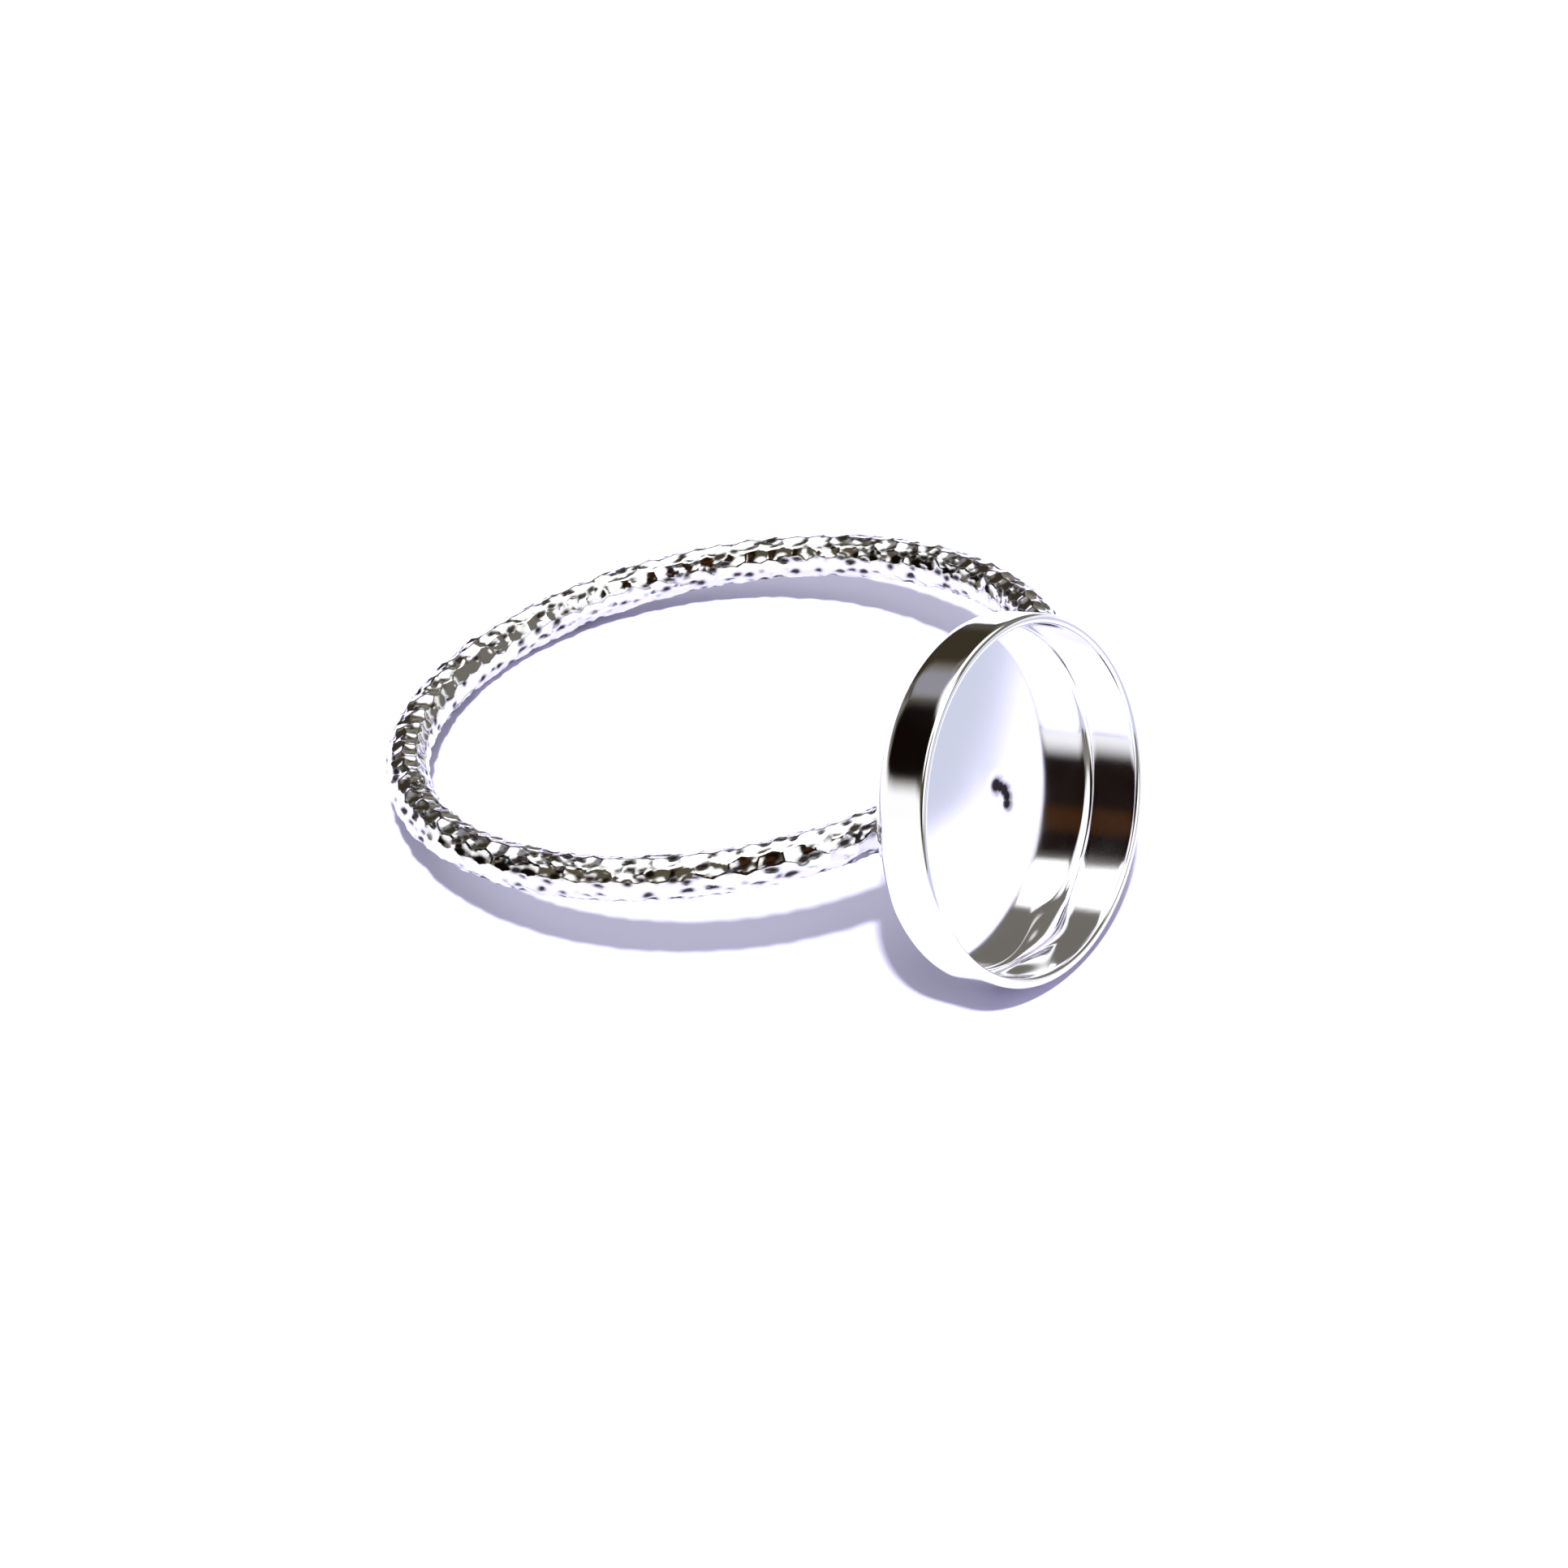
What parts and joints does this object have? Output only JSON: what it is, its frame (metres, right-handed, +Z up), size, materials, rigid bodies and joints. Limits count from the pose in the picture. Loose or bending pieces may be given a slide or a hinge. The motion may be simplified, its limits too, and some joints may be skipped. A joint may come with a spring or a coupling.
{
  "type": "bezel cup ring blank",
  "caption": "Round wire ring with a faceted sparkle band and a plain shallow bezel cup for a flat-backed round stone.",
  "frame": {"origin": "bottom centre of the bounding box, on the surface that the ring lies on", "axes": "+Z up from the surface, +X from the band towards the cup, +Y along the band where the cup sits"},
  "size_m": [0.0238, 0.021, 0.0107],
  "materials": {
    "silver": "polished sterling silver"
  },
  "bodies": {
    "root": {"ring_blank": "silver"}
  },
  "joints": []
}
